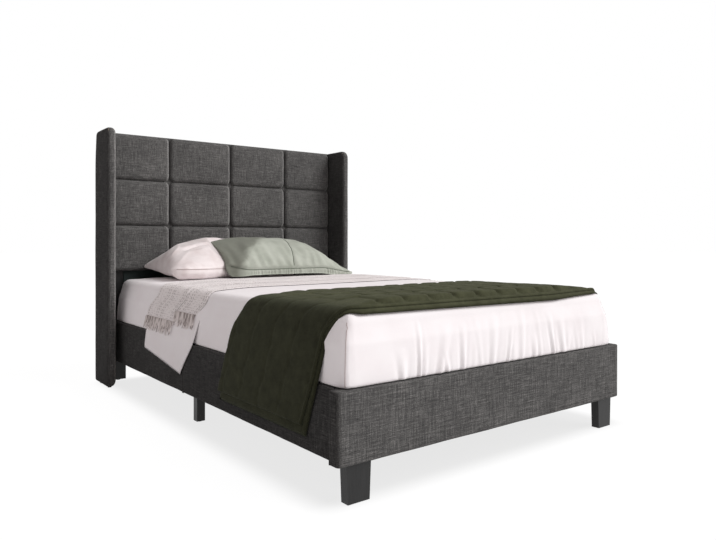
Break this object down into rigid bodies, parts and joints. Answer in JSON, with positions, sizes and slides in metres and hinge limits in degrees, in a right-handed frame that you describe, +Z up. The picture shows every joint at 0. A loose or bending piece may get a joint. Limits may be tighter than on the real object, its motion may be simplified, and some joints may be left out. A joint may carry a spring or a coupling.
{
  "type": "upholstered bed",
  "caption": "Upholstered platform bed with a square-tufted winged headboard, on dark block legs, made up with sheets, pillows, a knitted throw and a quilted throw.",
  "frame": {"origin": "on the floor, under the middle of the bed's overall length and width", "axes": "+Z up, +Y towards the headboard, +X to the right seen from the foot end"},
  "size_m": [1.428, 2.01, 1.252],
  "materials": {
    "upholstery": "matte",
    "board": "matte",
    "slat_wood": "satin",
    "leg_black": "satin",
    "dark_board": "matte",
    "back_cloth": "matte",
    "black_steel": "satin",
    "zinc_steel": "satin",
    "black_plastic": "matte",
    "webbing": "matte",
    "ticking": "matte",
    "white_cotton": "matte",
    "knit": "matte",
    "olive_quilt": "matte",
    "sage_cotton": "matte"
  },
  "bodies": {
    "frame": {"headboard_padding": "upholstery", "headboard_board": "board", "headboard_post_left": "leg_black", "headboard_post_right": "leg_black", "headboard_battens": "board", "headboard_lower_board": "dark_board", "headboard_back_cloth": "back_cloth", "wing_core_left": "board", "wing_core_right": "board", "wing_cover_left": "upholstery", "wing_cover_right": "upholstery", "wing_brackets": "black_steel", "side_rail_core_left": "board", "side_rail_core_right": "board", "side_rail_cover_left_front": "upholstery", "side_rail_cover_left_rear": "upholstery", "side_rail_cover_right_front": "upholstery", "side_rail_cover_right_rear": "upholstery", "slat_ledge_left": "board", "slat_ledge_right": "board", "rail_joint_plates": "black_steel", "foot_rail_core": "board", "foot_rail_cover": "upholstery", "front_leg_left": "leg_black", "front_leg_right": "leg_black", "side_leg_left": "leg_black", "side_leg_right": "leg_black", "head_brackets": "black_steel", "foot_brackets": "black_steel", "m8_bolts": "zinc_steel", "small_screws": "zinc_steel", "floor_glides": "black_plastic", "centre_beam_front": "black_steel", "centre_beam_rear": "black_steel", "centre_beam_sleeve": "zinc_steel", "beam_hangers": "black_steel", "centre_leg_front": "leg_black", "centre_leg_rear": "leg_black", "slat_01": "slat_wood", "slat_02": "slat_wood", "slat_03": "slat_wood", "slat_04": "slat_wood", "slat_05": "slat_wood", "slat_06": "slat_wood", "slat_07": "slat_wood", "slat_08": "slat_wood", "slat_09": "slat_wood", "slat_10": "slat_wood", "slat_11": "slat_wood", "slat_12": "slat_wood", "slat_straps": "webbing"},
    "mattress": {"mattress": "ticking", "fitted_sheet": "white_cotton"},
    "pillow_white": {"pillow_white": "white_cotton"},
    "pillow_green": {"pillow_green": "sage_cotton"},
    "top_sheet": {"top_sheet": "white_cotton"},
    "lace_throw": {"lace_throw": "knit"},
    "quilt_throw": {"quilt_throw": "olive_quilt"},
    "levelling_foot_front": {"levelling_foot_front": "black_plastic"},
    "levelling_foot_rear": {"levelling_foot_rear": "black_plastic"}
  },
  "joints": [
    {"name": "mattress_lift", "type": "slide", "parent": "frame", "child": "mattress", "axis": [0, 0, 1], "range_m": [0, 0.35]},
    {"name": "quilt_lift", "type": "slide", "parent": "mattress", "child": "quilt_throw", "axis": [0, 0, 1], "range_m": [0, 0.3]},
    {"name": "top_sheet_lift", "type": "slide", "parent": "mattress", "child": "top_sheet", "axis": [0, 0, 1], "range_m": [0, 0.3]},
    {"name": "lace_lift", "type": "slide", "parent": "top_sheet", "child": "lace_throw", "axis": [0, 0, 1], "range_m": [0, 0.3]},
    {"name": "white_pillow_lift", "type": "slide", "parent": "mattress", "child": "pillow_white", "axis": [0, 0, 1], "range_m": [0, 0.3]},
    {"name": "green_pillow_lift", "type": "slide", "parent": "pillow_white", "child": "pillow_green", "axis": [0, 0, 1], "range_m": [0, 0.3]},
    {"name": "front_foot_screw", "type": "slide", "parent": "frame", "child": "levelling_foot_front", "axis": [0, 0, -1], "range_m": [0, 0.012]},
    {"name": "rear_foot_screw", "type": "slide", "parent": "frame", "child": "levelling_foot_rear", "axis": [0, 0, -1], "range_m": [0, 0.012]}
  ]
}
